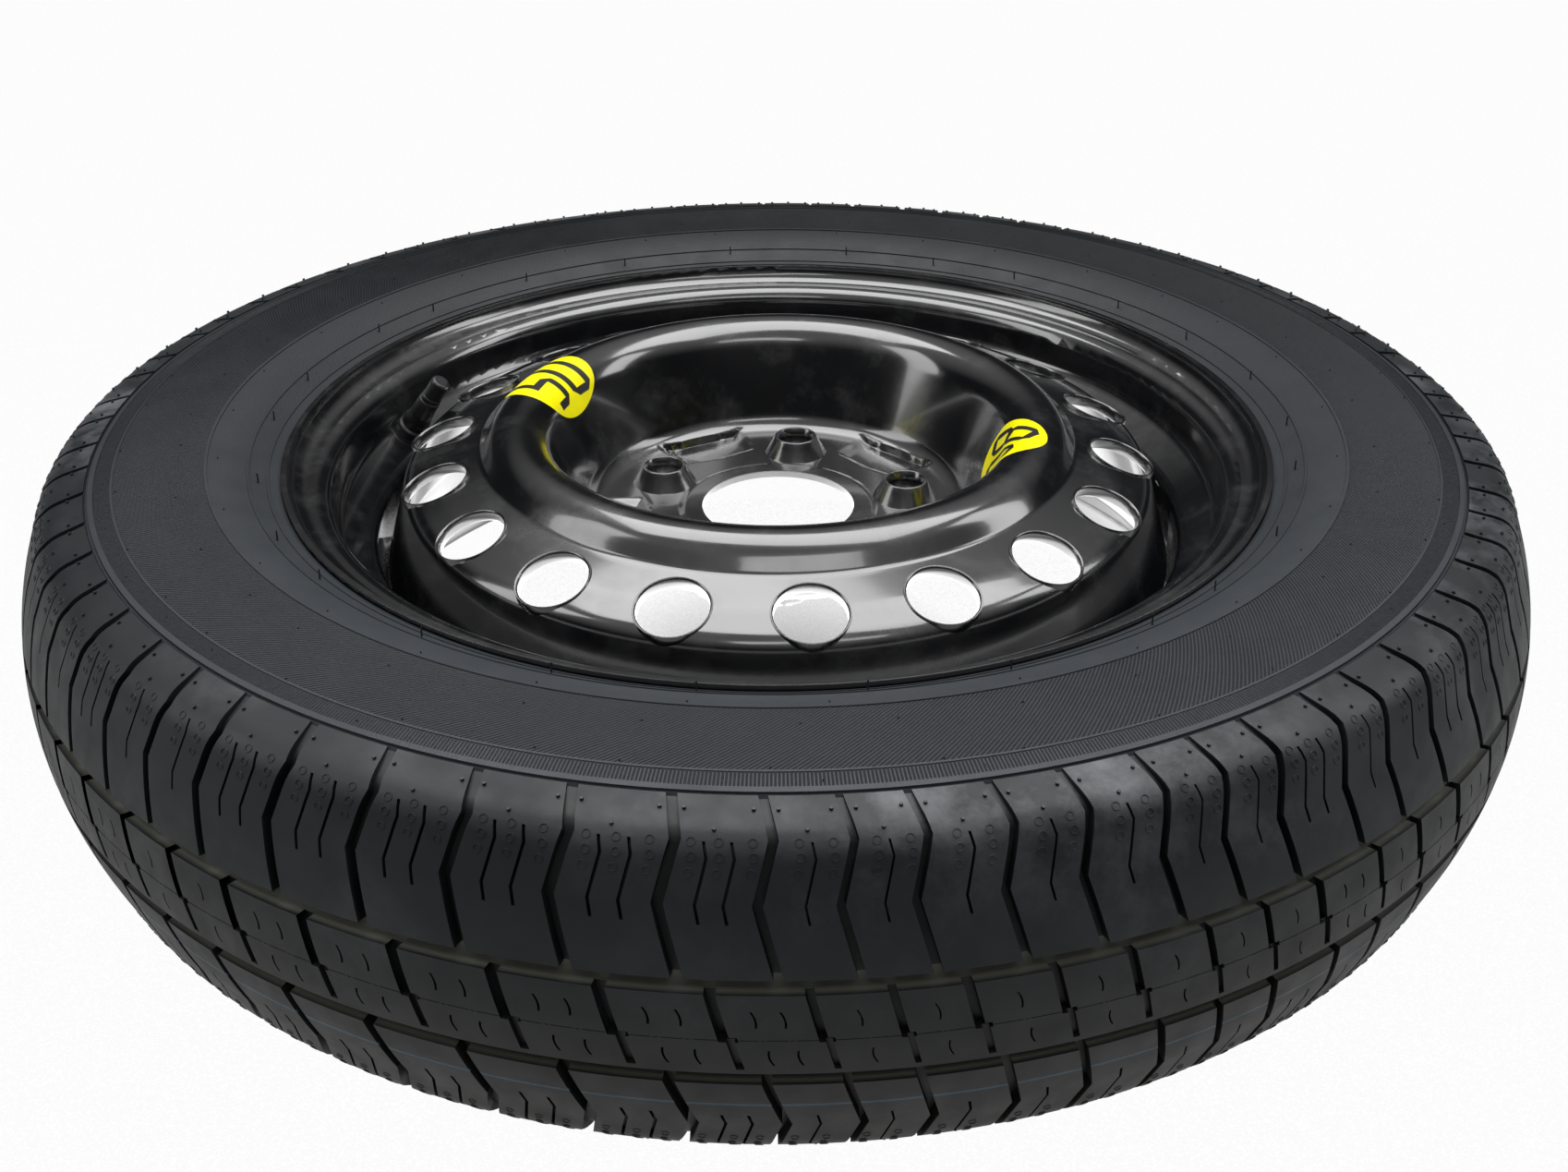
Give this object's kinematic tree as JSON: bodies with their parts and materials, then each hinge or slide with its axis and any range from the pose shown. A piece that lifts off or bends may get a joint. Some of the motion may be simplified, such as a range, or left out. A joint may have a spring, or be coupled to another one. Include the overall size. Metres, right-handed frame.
{
  "type": "space saver spare wheel",
  "caption": "Narrow temporary spare wheel: a thin tyre on a black pressed steel wheel with round vent holes, bolt holes and a snap-in valve.",
  "frame": {"origin": "centre of the hub mounting face, on the wheel's axis", "axes": "+Z along the wheel's axis towards the outboard side, which faces up when the wheel lies flat"},
  "size_m": [0.667, 0.667, 0.1456],
  "materials": {
    "tyre": "moulded tyre rubber, satin",
    "black_paint": "glossy black paint on steel",
    "valve_rubber": "smooth moulded rubber",
    "brass": "turned brass",
    "spring_steel": "drawn wire",
    "cap_plastic": "moulded black plastic",
    "decal": "printed vinyl film"
  },
  "bodies": {
    "wheel": {"tyre": "tyre", "rim": "black_paint", "disc": "black_paint", "disc_welds": "black_paint", "valve_body": "valve_rubber", "valve_stem": "brass", "core_body": "brass", "core_gasket": "valve_rubber", "core_spring": "spring_steel", "decal_50": "decal", "decal_80": "decal"},
    "core": {"core_pin": "brass", "core_seal": "valve_rubber"},
    "cap": {"valve_cap": "cap_plastic"}
  },
  "joints": [
    {"name": "cap_off", "type": "slide", "parent": "wheel", "child": "cap", "axis": [0.5312, -0.2018, 0.8229], "range_m": [0, 0.016]},
    {"name": "core_press", "type": "slide", "parent": "wheel", "child": "core", "axis": [-0.5312, 0.2018, -0.8229], "range_m": [0, 0.0012], "stiffness_N_per_m": 400, "deforming": ["core_spring"]}
  ]
}
